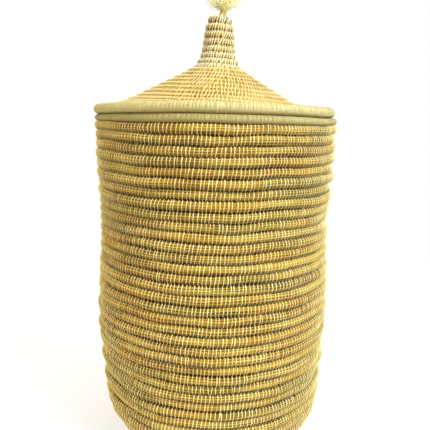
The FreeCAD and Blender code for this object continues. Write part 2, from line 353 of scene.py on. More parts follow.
@dataclass(frozen=True)
class RaffiaFinish:
    """Split palm raffia: pale strips with fine fibres along them.

    Painted shade darkens the lower side of each turn and the grooves between turns;
    on the tuft, where rise runs from root to tip, that darkening gives the roots a
    golden tone. A painted pale wash of light can whiten the left of the piece, and
    shine_through is a faint glow that stands for light coming through thin strands.
    """

    name: str
    pale: Colour
    shade: Colour
    warm: Colour
    dark: Colour = (92, 58, 12)
    white: Colour = (232, 236, 212)
    fibres: float = 7.0
    variety: float = 0.7
    # Painted shade on the lower side of each turn; golden roots on the tuft.
    under_shade_and_root_tone: float = 0.0
    groove_shade_share: float = 0.0
    # Painted light: a pale wash of light over the left of the piece.
    painted_left_light: float = 0.0
    painted_light_edge: Pair = (-2 * MM, 22 * MM)
    painted_light_ragged: float = 30 * MM
    shine_through: float = 0.0
    relief: float = 0.35 * MM

    def build(self) -> bpy.types.Material:
        """Makes the material."""
        shader = Shader(self.name)
        strip = shader.coordinates("UV")
        place = shader.coordinates("Object")
        tint = shader.attribute(TINT) * self.variety
        rise = shader.attribute(RISE)
        pale, shade, dark = rgb(*self.pale), rgb(*self.shade), rgb(*self.dark)
        along = strip.times((1.3, self.fibres, 1.0)).plus(place.times((90, 90, 90)))
        fibre = shader.noise(along)
        patch = shader.noise(place.times((9.0, 9.0, 30.0)))
        colour = shader.mix(tint, pale, shade)
        colour = shader.mix(patch.between(0.45, 0.7) * 0.5, colour, rgb(*self.warm))
        colour = shader.mix(fibre.between(0.52, 0.72) * 0.35, colour, shade)
        # Painted light: a pale wash of light over the left of the piece, with a ragged edge.
        if self.painted_left_light:
            across = shader.node("ShaderNodeSeparateXYZ", {}, {"Vector": place})
            ragged = across + patch * self.painted_light_ragged
            left_light_mask = (1.0 - ragged.between(*self.painted_light_edge)) * self.painted_left_light
            colour = shader.mix(left_light_mask, colour, rgb(*self.white))
        # Painted shade on the lower side of each turn; on the tuft, where rise runs from root
        # to tip, this gives the roots a golden tone.
        under = (1.0 - rise.between(-0.9, 0.3)) * self.under_shade_and_root_tone
        colour = shader.mix(under, colour, shader.mix(0.5, shade, dark))
        # Painted shade: the grooves between courses are darkened.
        groove = (rise * rise).between(0.62, 0.92) * self.groove_shade_share
        colour = shader.mix(groove, colour, dark)
        return shader.surface(
            {
                "Base Color": colour,
                "Roughness": 0.5 + fibre * 0.25,
                "Specular IOR Level": 0.4,
                "Emission Color": pale,
                "Emission Strength": self.shine_through,
                "Normal": shader.bump(fibre, 0.5, self.relief),
            }
        )


class Finishes:
    """Every material of the object."""

    def __init__(self) -> None:
        """Makes them all once."""
        self.wall_grass = GrassFinish(
            "wall_grass_blades",
            straw=(214, 184, 76),
            gold=(196, 146, 28),
            brown=(136, 84, 8),
            olive=(120, 118, 26),
            dark=(32, 17, 0),
        ).build()
        self.lid_grass = GrassFinish(
            "lid_grass_blades",
            straw=(242, 212, 112),
            gold=(224, 182, 68),
            brown=(184, 138, 38),
            olive=(194, 170, 74),
            dark=(122, 78, 12),
            olive_share=0.3,
            groove_shade_share=0.8,
        ).build()
        self.wall_raffia = RaffiaFinish(
            "wall_lashing_raffia",
            pale=(255, 248, 188),
            shade=(188, 156, 70),
            warm=(240, 214, 124),
            variety=0.6,
            under_shade_and_root_tone=0.6,
            groove_shade_share=0.85,
        ).build()
        self.lid_raffia = RaffiaFinish(
            "lid_lashing_raffia",
            pale=(255, 250, 206),
            shade=(222, 196, 112),
            warm=(244, 222, 142),
            dark=(160, 114, 34),
            variety=0.6,
            under_shade_and_root_tone=0.5,
            groove_shade_share=0.5,
        ).build()
        self.neck_raffia = RaffiaFinish(
            "neck_lashing_raffia",
            pale=(252, 250, 222),
            shade=(206, 196, 138),
            warm=(232, 212, 136),
            dark=(138, 106, 40),
            variety=0.7,
            under_shade_and_root_tone=0.32,
            groove_shade_share=0.3,
            # Painted light: a pale wash of light over the left of the neck.
            painted_left_light=0.85,
        ).build()
        self.lid_rim_raffia = RaffiaFinish(
            "lid_rim_wrapping_raffia",
            pale=(212, 202, 144),
            shade=(202, 190, 130),
            warm=(208, 192, 128),
            dark=(112, 90, 38),
            fibres=9.0,
            variety=0.04,
            relief=0.1 * MM,
            under_shade_and_root_tone=0.95,
        ).build()
        self.mouth_raffia = RaffiaFinish(
            "mouth_rim_wrapping_raffia",
            pale=(186, 176, 118),
            shade=(168, 152, 92),
            warm=(182, 166, 106),
            dark=(104, 80, 32),
            fibres=9.0,
            variety=0.04,
            relief=0.1 * MM,
            under_shade_and_root_tone=0.95,
        ).build()
        self.tuft_raffia = RaffiaFinish(
            "tuft_raffia_wisps",
            pale=(252, 255, 226),
            shade=(236, 236, 158),
            warm=(250, 246, 190),
            dark=(236, 192, 64),
            variety=0.8,
            under_shade_and_root_tone=0.8,
            shine_through=0.07,
        ).build()
        self.tuft_core = RaffiaFinish(
            "tuft_raffia_core",
            pale=(238, 208, 94),
            shade=(210, 172, 54),
            warm=(226, 190, 72),
            dark=(192, 144, 34),
            under_shade_and_root_tone=0.6,
            shine_through=0.08,
        ).build()


# ----------------------------------------------------------------- modelling


def deselect() -> None:
    """Leaves nothing selected."""
    bpy.ops.object.select_all(action="DESELECT")


def apply_modifiers(piece: bpy.types.Object) -> None:
    """Applies a piece's modifiers in order."""
    deselect()
    piece.select_set(True)
    bpy.context.view_layer.objects.active = piece
    for modifier in list(piece.modifiers):
        bpy.ops.object.modifier_apply(modifier=modifier.name)


def join(pieces: list[bpy.types.Object], name: str) -> bpy.types.Object:
    """Joins pieces into one and names it."""
    deselect()
    for piece in pieces:
        piece.select_set(True)
    bpy.context.view_layer.objects.active = pieces[0]
    if len(pieces) > 1:
        bpy.ops.object.join()
    made = bpy.context.view_layer.objects.active
    made.name = name
    made.data.name = name
    return made


def place_at_origin(piece: bpy.types.Object) -> None:
    """Moves an object's place into its mesh."""
    deselect()
    piece.select_set(True)
    bpy.context.view_layer.objects.active = piece
    bpy.ops.object.transform_apply(location=True, rotation=True, scale=True)


def read_points(piece: bpy.types.Object) -> np.ndarray:
    """A piece's points, one to a row."""
    points = np.empty(len(piece.data.vertices) * 3, np.float32)
    piece.data.vertices.foreach_get("co", points)
    return points.reshape(-1, 3)


def write_points(piece: bpy.types.Object, points: np.ndarray) -> None:
    """Moves a piece's points."""
    piece.data.vertices.foreach_set("co", points.astype(np.float32).ravel())
    piece.data.update()


def store(piece: bpy.types.Object, name: str, values: list[float]) -> None:
    """Stores a number on each of a piece's points."""
    made = piece.data.attributes.new(name, "FLOAT", "POINT")
    made.data.foreach_set("value", values)


def clouds(name: str, scale: float) -> bpy.types.Texture:
    """Cloudy noise for a Displace modifier."""
    texture = bpy.data.textures.new(name, "CLOUDS")
    texture.noise_scale = scale
    texture.noise_depth = 1
    return texture


def displace(
    piece: bpy.types.Object,
    texture: bpy.types.Texture,
    direction: str,
    strength: float,
    coordinates: str = "LOCAL",
) -> None:
    """Adds a Displace modifier.

    Args:
        piece: the piece to shape.
        texture: the noise.
        direction: X, Y, Z or NORMAL.
        strength: the whole travel.
        coordinates: LOCAL or UV.
    """
    modifier = piece.modifiers.new("uneven", "DISPLACE")
    modifier.texture = texture
    modifier.direction = direction
    modifier.strength = strength
    modifier.mid_level = 0.5
    modifier.texture_coords = coordinates


@dataclass
class HandWork:
    """The slow unevenness of hand work, the same for all that lies together."""

    sag: float = 6.3 * MM
    sag_from: float = 0.56
    sag_full: float = 0.607
    sag_power: float = 1.5
    half_width: float = 0.21
    lean: float = 7 * MM
    lean_height: float = 0.22
    lean_power: float = 1.2
    pressed: float = 2 * MM

    def __post_init__(self) -> None:
        """Makes the noises once."""
        self.rise = clouds("hand_rise", 0.11)
        self.side = clouds("hand_side", 0.16)
        self.blades = clouds("grass_blades", 0.5)

    def settle(self, piece: bpy.types.Object, rise: float, side: float) -> None:
        """Shifts a piece with its surroundings.

        Args:
            piece: a piece whose place is in its mesh.
            rise: the whole travel up and down.
            side: the whole travel sideways.
        """
        if rise:
            displace(piece, self.rise, "Z", rise)
        displace(piece, self.side, "X", side)
        displace(piece, self.side, "Y", side)
        apply_modifiers(piece)
        self.lie(piece)

    def lie(self, piece: bpy.types.Object) -> None:
        """Sags the top at its two sides, leans the foot and presses it flat."""
        points = read_points(piece)
        x, z = points[:, 0].copy(), points[:, 2]
        high = ((z - self.sag_from) / (self.sag_full - self.sag_from)).clip(0, 1)
        low = (1 - z / self.lean_height).clip(0, 1)
        points[:, 0] += self.lean * low**self.lean_power
        points[:, 2] -= self.sag * high**self.sag_power * (x / self.half_width) ** 2
        under = z < self.pressed
        points[under, 2] = self.pressed * np.exp(z[under] / self.pressed - 1)
        write_points(piece, points)


@dataclass(frozen=True)
class Course:
    """One course: a ring of rope, with the way that the work grows.

    Each wave is a count round the ring, a phase and a travel outward.
    """

    name: str
    radius: float
    height: float
    rope: float
    up: Pair
    tilt: float = 0.0
    shift: float = 0.0
    waves: tuple[tuple[int, float, float], ...] = ()
    wave_rise: float = 0.35
    wave_lag: float = 2.3

    def drift(self, turns: np.ndarray) -> tuple[np.ndarray, np.ndarray]:
        """How far the rope strays outward and upward, at some turns round it."""
        outward, upward = np.zeros_like(turns), np.zeros_like(turns)
        for count, phase, size in self.waves:
            outward += size * np.sin(count * turns + phase)
            lagging = np.sin(count * turns + phase * self.wave_lag)
            upward += size * self.wave_rise * lagging
        return outward, upward

    @property
    def out(self) -> Pair:
        """The way out of the basket, across the way up."""
        return (self.up[1], -self.up[0])

    def rise_of(self, point: Vector) -> float:
        """How far up its course a point of the rope is, from -1 to 1."""
        run = math.hypot(point.x, point.y) - self.radius
        rise = point.z - self.height
        return (run * self.up[0] + rise * self.up[1]) / self.rope

    @property
    def lean_over(self) -> Matrix:
        """The small tilt and shift that hand work gave this course."""
        centre = Vector((0, 0, self.height))
        return (
            Matrix.Translation(centre + Vector((self.shift, 0, 0)))
            @ Matrix.Rotation(self.tilt, 4, "Y")
            @ Matrix.Translation(-centre)
        )


def growing(centres: list[Pair], n: int) -> Pair:
    """The unit direction from the course before n to the course after it."""
    before = centres[max(0, n - 1)]
    after = centres[min(len(centres) - 1, n + 1)]
    run, rise = after[0] - before[0], after[1] - before[1]
    length = math.hypot(run, rise)
    return (run / length, rise / length)


def ring_centre(node: str, rope: float) -> Pair:
    """The centre of a ring's rope, read from its CAD node."""
    low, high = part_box(node)
    return (high.x - rope, (low.z + high.z) / 2)


@dataclass
class RopeMaker:
    """Makes ropes of grass."""

    hands: HandWork
    around: int = 22
    segment: float = 6.5 * MM
    blade_width: float = 2.2 * MM
    blade_length: float = 90 * MM
    ridge: float = 0.9 * MM

    def ring(self, course: Course) -> bpy.types.Object:
        """A rope along a course.

        Args:
            course: the course it lies on.

        Returns:
            The rope, with a map in blade widths.
        """
        length = FULL_TURN * course.radius
        deselect()
        bpy.ops.mesh.primitive_torus_add(
            major_radius=course.radius,
            minor_radius=course.rope,
            major_segments=max(24, round(length / self.segment)),
            minor_segments=self.around,
            location=(0, 0, course.height),
            rotation=(0, 0, math.pi / 2),
            generate_uvs=True,
        )
        rope = bpy.context.active_object
        rope.name = course.name
        place_at_origin(rope)
        layer = rope.data.uv_layers[0].data
        flat = np.empty(len(layer) * 2, np.float32)
        layer.foreach_get("uv", flat)
        flat = flat.reshape(-1, 2)
        flat[:, 0] *= length / self.blade_length
        flat[:, 1] *= FULL_TURN * course.rope / self.blade_width
        layer.foreach_set("uv", flat.ravel())
        store(rope, RISE, [course.rise_of(vertex.co) for vertex in rope.data.vertices])
        displace(rope, self.hands.blades, "NORMAL", self.ridge, "UV")
        rope.modifiers[-1].uv_layer = rope.data.uv_layers[0].name
        apply_modifiers(rope)
        points = read_points(rope)
        turns = np.arctan2(points[:, 1], points[:, 0])
        outward, upward = course.drift(turns)
        points += np.stack([outward * np.cos(turns), outward * np.sin(turns), upward], 1)
        write_points(rope, points)
        rope.data.transform(course.lean_over)
        rope.data.polygons.foreach_set("use_smooth", [True] * len(rope.data.polygons))
        return rope


@dataclass(frozen=True)
class Lashing:
    """How raffia is lashed over a course.

    The lower half of a turn is drawn in by pull_in and runs out again by flare,
    both as shares of the rope, where it goes into the course before.
    """

    width: float
    spacing: float
    thickness: float = 0.45 * MM
    proud: float = 0.35 * MM
    lean: float = 0.0
    lean_spread: float = 0.09
    spacing_spread: float = 0.12
    width_spread: float = 0.12
    width_limits: Pair = (0.7, 1.35)
    height_spread: float = 0.012
    reach_down: float = 0.0
    pull_in: float = 0.16
    flare: float = 0.28
    foot: float = 0.2
    narrowing: float = 0.0
    around: int = 12


class Lasher:
    """Lashes courses with raffia."""

    def __init__(self, seed: int) -> None:
        """Keeps one source of chance.

        Args:
            seed: where the chance starts.
        """
        self.chance = np.random.default_rng(seed)

    def loop(self, rope: float, lashing: Lashing) -> bpy.types.Object:
        """One turn of raffia round a rope, standing at the origin.

        It lies along X, the work grows along Y and Z is the way out.

        Args:
            rope: the rope's radius.
            lashing: the kind of lashing.

        Returns:
            The loop.
        """
        tube = 0.25
        deselect()
        bpy.ops.mesh.primitive_torus_add(
            major_radius=1.0,
            minor_radius=tube,
            major_segments=lashing.around,
            minor_segments=4,
            location=(0, 0, 0),
            generate_uvs=True,
        )
        made = bpy.context.active_object
        reach = rope + lashing.proud
        rises = []
        for vertex in made.data.vertices:
            turn = math.atan2(vertex.co.y, vertex.co.x)
            off = (math.hypot(vertex.co.x, vertex.co.y) - 1) / tube
            side = vertex.co.z / tube
            radius = reach + off * lashing.thickness
            out, up = radius * math.cos(turn), radius * math.sin(turn)
            if up < 0:
                share = -up / reach
                up -= lashing.reach_down * share
                if abs(math.cos(turn)) > lashing.foot:
                    out *= 1 - lashing.pull_in * share
                if lashing.reach_down and abs(out) > rope * lashing.foot:
                    out += math.copysign(lashing.flare * rope * share**2, out)
            narrow = 1 - lashing.narrowing * (1 - math.sin(turn)) / 2
            vertex.co = Vector((side * narrow * lashing.width / 2, up, out))
            rises.append(math.sin(turn))
        store(made, RISE, rises)
        return made

    def lash(
        self, name: str, courses: list[Course], lashing: Lashing
    ) -> bpy.types.Object:
        """Lashes several courses, as one piece.

        Args:
            name: the piece's name.
            courses: the courses to lash.
            lashing: the kind of lashing.

        Returns:
            The piece.
        """
        template = self.loop(courses[0].rope, lashing)
        frames = [self.frames(course, lashing) for course in courses]
        made = copies(name, template, np.concatenate(frames), self.chance)
        bpy.data.objects.remove(template)
        return made

    def frames(self, course: Course, lashing: Lashing) -> np.ndarray:
        """Where each loop of a course stands, as 4 by 4 matrices."""
        outer = course.radius + course.rope * max(0.0, course.out[0])
        count = max(6, round(FULL_TURN * outer / lashing.spacing))
        turns = np.arange(count) + self.chance.uniform(0, 1)
        turns = turns + self.chance.normal(0, lashing.spacing_spread, count)
        turns = turns * FULL_TURN / count
        lean = lashing.lean + self.chance.normal(0, lashing.lean_spread, count)
        wide = self.chance.normal(1.0, lashing.width_spread, count).clip(*lashing.width_limits)
        tall = self.chance.normal(1.0, lashing.height_spread, count)
        cosine, sine, none = np.cos(turns), np.sin(turns), np.zeros(count)
        along = np.stack([-sine, cosine, none], 1)
        up_run, up_rise = course.up
        out_run, out_rise = course.out
        up = np.stack([up_run * cosine, up_run * sine, none + up_rise], 1)
        out = np.stack([out_run * cosine, out_run * sine, none + out_rise], 1)
        leaned_along = along * np.cos(lean)[:, None] - up * np.sin(lean)[:, None]
        leaned_up = up * np.cos(lean)[:, None] + along * np.sin(lean)[:, None]
        made = np.tile(np.eye(4), (count, 1, 1))
        made[:, :3, 0] = leaned_along * wide[:, None]
        made[:, :3, 1] = leaned_up * tall[:, None] / np.cos(lean)[:, None]
        made[:, :3, 2] = out * tall[:, None]
        outward, upward = course.drift(turns)
        made[:, 0, 3] = (course.radius + outward) * cosine
        made[:, 1, 3] = (course.radius + outward) * sine
        made[:, 2, 3] = course.height + upward
        return np.array(course.lean_over) @ made


def copies(
    name: str,
    template: bpy.types.Object,
    frames: np.ndarray,
    chance: np.random.Generator,
) -> bpy.types.Object:
    """Many copies of one small mesh, as one piece.

    Args:
        name: the piece's name.
        template: what is copied.
        frames: where each copy goes.
        chance: gives each copy its tint.

    Returns:
        The piece, with the tint stored on its points.
    """
    source = template.data
    count = len(frames)
    points = np.empty(len(source.vertices) * 3, np.float32)
    source.vertices.foreach_get("co", points)
    points = points.reshape(-1, 3)
    moved = np.einsum("nij,mj->nmi", frames[:, :3, :3], points) + frames[:, None, :3, 3]
    corners = np.empty(len(source.loops), np.int32)
    source.loops.foreach_get("vertex_index", corners)
    starts = np.empty(len(source.polygons), np.int32)
    source.polygons.foreach_get("loop_start", starts)
    uvs = np.empty(len(source.loops) * 2, np.float32)
    source.uv_layers[0].data.foreach_get("uv", uvs)
    mesh = bpy.data.meshes.new(name)
    mesh.vertices.add(count * len(points))
    mesh.vertices.foreach_set("co", moved.astype(np.float32).ravel())
    mesh.loops.add(count * len(corners))
    steps = np.arange(count, dtype=np.int32)[:, None]
    mesh.loops.foreach_set("vertex_index", (corners + steps * len(points)).ravel())
    mesh.polygons.add(count * len(starts))
    mesh.polygons.foreach_set("loop_start", (starts + steps * len(corners)).ravel())
    mesh.polygons.foreach_set("use_smooth", np.ones(count * len(starts), bool))
    layer = mesh.uv_layers.new(name="UVMap")
    layer.data.foreach_set("uv", np.tile(uvs, count))
    mesh.update(calc_edges=True)
    mesh.validate()
    made = bpy.data.objects.new(name, mesh)
    tints = chance.beta(*TINT_SPREAD, count)
    store(made, TINT, np.repeat(tints, len(points)))
    if RISE in source.attributes:
        rises = np.empty(len(points), np.float32)
        source.attributes[RISE].data.foreach_get("value", rises)
        store(made, RISE, np.tile(rises, count))
    bpy.context.scene.collection.objects.link(made)
    return made


def dress(
    piece: bpy.types.Object,
    finish: bpy.types.Material,
    body: Body,
    nodes: tuple[str, ...] = (),
) -> None:
    """Gives a finished piece its material and body.

    Args:
        piece: the piece.
        finish: its material.
        body: what it rides on.
        nodes: the CAD nodes it stands for.
    """
    piece.data.materials.clear()
    piece.data.materials.append(finish)
    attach(piece, body.value)
    if nodes:
        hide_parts(*nodes)
    log.info("%s: %d faces", piece.name, len(piece.data.polygons))


# -------------------------------------------------------------- sub-assemblies


CLOSE_WRAP = Lashing(
    width=3.4 * MM,
    spacing=2.4 * MM,
    thickness=0.1 * MM,
    proud=0.0,
    lean=0.06,
    lean_spread=0.02,
    spacing_spread=0.06,
)


@dataclass
class Basket:
    """The base, the wall and the wrapped rim at the mouth."""

    hands: HandWork
    finishes: Finishes
    rope: float = 8.35 * MM
    fullness: float = 0.25 * MM
    pitch: float = 16 * MM
    floor_gap: float = 1.2 * MM
    base_turns: int = 6
    tightest_turn: float = 1.03
    wall_courses: int = 40
    even_courses: int = 9
    courses_per_piece: int = 10
    rise: float = 5 * MM
    side: float = 5 * MM
    swell: float = 1.1 * MM
    wander: float = 0.4 * MM
    wave: float = 0.55 * MM
    waves: int = 4
    wave_counts: tuple[int, int] = (3, 17)
    rim_rope: float = 6.7 * MM
    core_share: float = 0.97
    wall_seed: int = 17
    lashing_seed: int = 3
    lashing: Lashing = Lashing(
        width=2.0 * MM,
        spacing=6.2 * MM,
        thickness=0.65 * MM,
        proud=0.3 * MM,
        lean=0.1,
        lean_spread=0.045,
        spacing_spread=0.1,
        reach_down=0.6 * MM,
        narrowing=0.45,
    )
    wrapping: Lashing = CLOSE_WRAP

    def nodes(self) -> list[str]:
        """The wall's CAD nodes, from the heel up."""
        return [f"wall_course_{n + 1:02d}" for n in range(self.wall_courses)]

    def line(self) -> list[Pair]:
        """The centres of all turns, from the middle of the base to the rim."""
        level = self.rope + self.floor_gap
        base = [((n + 0.5) * self.pitch, level) for n in range(self.base_turns)]
        wall = [ring_centre(node, self.rope) for node in self.nodes()]
        return base + wall + [ring_centre("mouth_rim", self.rim_rope)]

    def base_line(self) -> list[Course]:
        """The flat turns of the base; the first closes on itself in the middle."""
        made = []
        for n, (radius, height) in enumerate(self.line()[: self.base_turns]):
            radius = max(radius, self.rope * self.tightest_turn)
            made.append(Course(f"base_turn_{n + 1}", radius, height, self.rope, (1, 0)))
        return made

    def wall_line(self) -> list[Course]:
        """The courses of the wall, less and less even above the heel."""
        line = self.line()
        chance = np.random.default_rng(self.wall_seed)
        made = []
        for n, node in enumerate(self.nodes()):
            radius, height = line[n + self.base_turns]
            share = min(1.0, n / self.even_courses)
            radius += float(chance.normal(0, self.swell)) * share
            height += float(chance.uniform(-self.wander, self.wander)) * share
            waves = tuple(
                (int(count), float(chance.uniform(0, FULL_TURN)), self.wave * share)
                for count in chance.integers(*self.wave_counts, self.waves)
            )
            rope = self.rope + self.fullness
            up = growing(line, n + self.base_turns)
            made.append(Course(node + "_rope", radius, height, rope, up, waves=waves))
        return made

    def build(self) -> None:
        """Builds all of it."""
        maker, lasher = RopeMaker(self.hands), Lasher(self.lashing_seed)
        base, wall = self.base_line(), self.wall_line()
        bottom = join([maker.ring(course) for course in base], "base_rope")
        self.hands.settle(bottom, 0.0, self.side)
        dress(bottom, self.finishes.wall_grass, Body.BASKET, ("base_coil",))
        for course, node in zip(wall, self.nodes()):
            rope = maker.ring(course)
            self.hands.settle(rope, self.rise, self.side)
            dress(rope, self.finishes.wall_grass, Body.BASKET, (node,))
        self.lash(lasher, "base_lashing", base[1:], 0.0)
        for first in range(0, self.wall_courses, self.courses_per_piece):
            chosen = wall[first : first + self.courses_per_piece]
            name = f"wall_lashing_{first // self.courses_per_piece + 1}"
            self.lash(lasher, name, chosen, self.rise)
        self.wrap_mouth(maker, lasher)

    def lash(
        self, lasher: Lasher, name: str, courses: list[Course], rise: float
    ) -> None:
        """Lashes some courses of the base or the wall."""
        raffia = lasher.lash(name, courses, self.lashing)
        self.hands.settle(raffia, rise, self.side)
        dress(raffia, self.finishes.wall_raffia, Body.BASKET)

    def wrap_mouth(self, maker: RopeMaker, lasher: Lasher) -> None:
        """Makes the rim at the mouth: a core, closely wrapped."""
        centre = ring_centre("mouth_rim", self.rim_rope)
        inner = Course("mouth_rim_core", *centre, self.rim_rope * self.core_share, (0, 1))
        outer = Course("rim", *centre, self.rim_rope, (0, 1))
        core = maker.ring(inner)
        wraps = lasher.lash("mouth_rim_wrapping", [outer], self.wrapping)
        for piece in (core, wraps):
            self.hands.settle(piece, self.rise * 0.5, self.side)
        dress(core, self.finishes.mouth_raffia, Body.BASKET, ("mouth_rim",))
        dress(wraps, self.finishes.mouth_raffia, Body.BASKET)


@dataclass
class Lid:
    """The cone of the lid, its wrapped rim, its seat and its neck.

    The neck's waist and shoulder are each a radius and a distance, the waist's
    from the neck's foot and the shoulder's from its head.
    """

    hands: HandWork
    finishes: Finishes
    courses: int = 12
    rope: float = 7.5 * MM
    rim_rope: float = 8.3 * MM
    core_share: float = 0.97
    seat_rope: float = 6.35 * MM
    neck_rope: float = 6.1 * MM
    neck_turns: int = 8
    neck_waist: Pair = (25.3 * MM, 20.5 * MM)
    neck_shoulder: Pair = (20.3 * MM, 22.4 * MM)
    neck_crown: float = 14.5 * MM
    neck_stretch: float = 1.06
    crown_lift: float = 3 * MM
    crown_tilt: float = math.radians(5)
    crown_power: int = 8
    tilt: float = math.radians(2.4)
    tilt_reach: float = 1.25
    tilt_power: float = 0.8
    shift: float = 4 * MM
    rim_shift: float = -3 * MM
    rim_shrink: float = 2.5 * MM
    rise: float = 2.5 * MM
    side: float = 5 * MM
    lashing_seed: int = 11
    wrapping: Lashing = replace(CLOSE_WRAP, width=3.6 * MM, spacing=2.5 * MM)
    lashing: Lashing = Lashing(
        width=2.3 * MM,
        spacing=5.5 * MM,
        thickness=0.4 * MM,
        proud=0.2 * MM,
        lean=0.2,
        reach_down=1.2 * MM,
        narrowing=0.3,
    )
    neck_lashing: Lashing = Lashing(
        width=2.6 * MM,
        spacing=4.7 * MM,
        thickness=0.6 * MM,
        lean=0.24,
        lean_spread=0.14,
        reach_down=1.4 * MM,
        narrowing=0.2,
    )

    def nodes(self) -> list[str]:
        """The cone's CAD nodes, from the rim up."""
        return [f"lid_course_{n + 1:02d}" for n in range(self.courses)]

    def seat(self) -> list[Pair]:
        """The centres of the two turns that hang in the mouth."""
        low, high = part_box("lid_seat_ring")
        radius = high.x - self.seat_rope
        return [(radius, low.z + self.seat_rope), (radius, high.z - self.seat_rope)]

    def neck(self) -> list[Pair]:
        """The centres of the turns of the neck, up to the crown."""
        low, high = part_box("neck_coil")
        foot, head = low.z + self.neck_rope, high.z - self.neck_rope
        (waist, above_foot), (shoulder, below_head) = self.neck_waist, self.neck_shoulder
        rises = (0, above_foot, head - foot - below_head, head - foot)
        radii = (high.x - self.neck_rope, waist, shoulder, self.neck_crown)
        profile = np.polyfit(rises, radii, 3)
        shares = np.linspace(0, 1, self.neck_turns)
        up = (head - foot) * shares**self.neck_stretch
        lifted = foot + up + self.crown_lift * shares**3
        return [(float(r), float(z)) for r, z in zip(np.polyval(profile, up), lifted)]

    def line(self) -> list[Course]:
        """All turns from the rim to the crown, with how the hand-made lid leans."""
        rim = ring_centre("lid_rim", self.rim_rope)
        cone = [ring_centre(node, self.rope) for node in self.nodes()]
        centres = [rim] + cone + self.neck()
        made = []
        for n, (radius, height) in enumerate(centres):
            share = n / (len(centres) - 1)
            swing = min(1.0, share * self.tilt_reach) ** self.tilt_power
            tilt = self.tilt * math.sin(math.pi * swing)
            tilt += self.crown_tilt * share**self.crown_power
            shift = self.shift * share**2 + self.rim_shift * (1 - share) ** 3
            rope = self.rope if n <= self.courses else self.neck_rope
            up = growing(centres, n)
            made.append(Course(f"lid_turn_{n}", radius, height, rope, up, tilt, shift))
        return made

    def build(self) -> None:
        """Builds all of it."""
        maker, lasher = RopeMaker(self.hands), Lasher(self.lashing_seed)
        line = self.line()
        cone, neck = line[1 : 1 + self.courses], line[1 + self.courses :]
        for course, node in zip(cone, self.nodes()):
            rope = maker.ring(course)
            rope.name = node + "_rope"
            self.finish(rope, self.finishes.lid_grass, Slot.LID, (node,))
        coil = join([maker.ring(course) for course in neck], "neck_rope")
        self.finish(coil, self.finishes.lid_grass, Slot.NECK, ("neck_coil",))
        raffia = lasher.lash("lid_lashing", cone, self.lashing)
        self.finish(raffia, self.finishes.lid_raffia, Slot.LID_RIM)
        raffia = lasher.lash("neck_lashing", neck, self.neck_lashing)
        self.finish(raffia, self.finishes.neck_raffia, Slot.NECK)
        self.seat_in_mouth(maker, lasher)
        self.wrap_rim(maker, lasher)

    def seat_in_mouth(self, maker: RopeMaker, lasher: Lasher) -> None:
        """Makes the two lashed turns that hang in the mouth."""
        courses = [
            Course(f"lid_seat_{n}", *centre, self.seat_rope, (0, 1), 0.0, self.rim_shift)
            for n, centre in enumerate(self.seat())
        ]
        seat = join([maker.ring(course) for course in courses], "lid_seat_rope")
        self.finish(seat, self.finishes.lid_grass, Slot.LID, ("lid_seat_ring",))
        raffia = lasher.lash("lid_seat_lashing", courses, self.lashing)
        self.finish(raffia, self.finishes.lid_raffia, Slot.LID_RIM)

    def wrap_rim(self, maker: RopeMaker, lasher: Lasher) -> None:
        """Makes the lid's rim: a core, closely wrapped."""
        radius, height = ring_centre("lid_rim", self.rim_rope)
        radius -= self.rim_shrink
        inner = self.rim_rope * self.core_share
        core = maker.ring(
            Course("lid_rim_core", radius, height, inner, (0, 1), 0.0, self.rim_shift)
        )
        outer = Course("rim", radius, height, self.rim_rope, (0, 1), 0.0, self.rim_shift)
        wraps = lasher.lash("lid_rim_wrapping", [outer], self.wrapping)
        self.finish(core, self.finishes.lid_rim_raffia, Slot.LID_RIM, ("lid_rim",))
        self.finish(wraps, self.finishes.lid_rim_raffia, Slot.LID_RIM)

    def finish(
        self,
        piece: bpy.types.Object,
        finish: bpy.types.Material,
        slot: Slot,
        nodes: tuple[str, ...] = (),
    ) -> None:
        """Gives a piece of the lid its unevenness and its finish."""
        self.hands.settle(piece, self.rise, self.side)
        dress(piece, finish, Body.LID, nodes)


@dataclass(frozen=True)
class Wisps:
    """One kind of strand in the tuft.

    The lift is an angle above the level, and gather widens the stem's foot.
    """

    count: int
    width: float
    length: Pair
    lift: Pair
    curl: float
    turns: float
    gather: float = 0.8


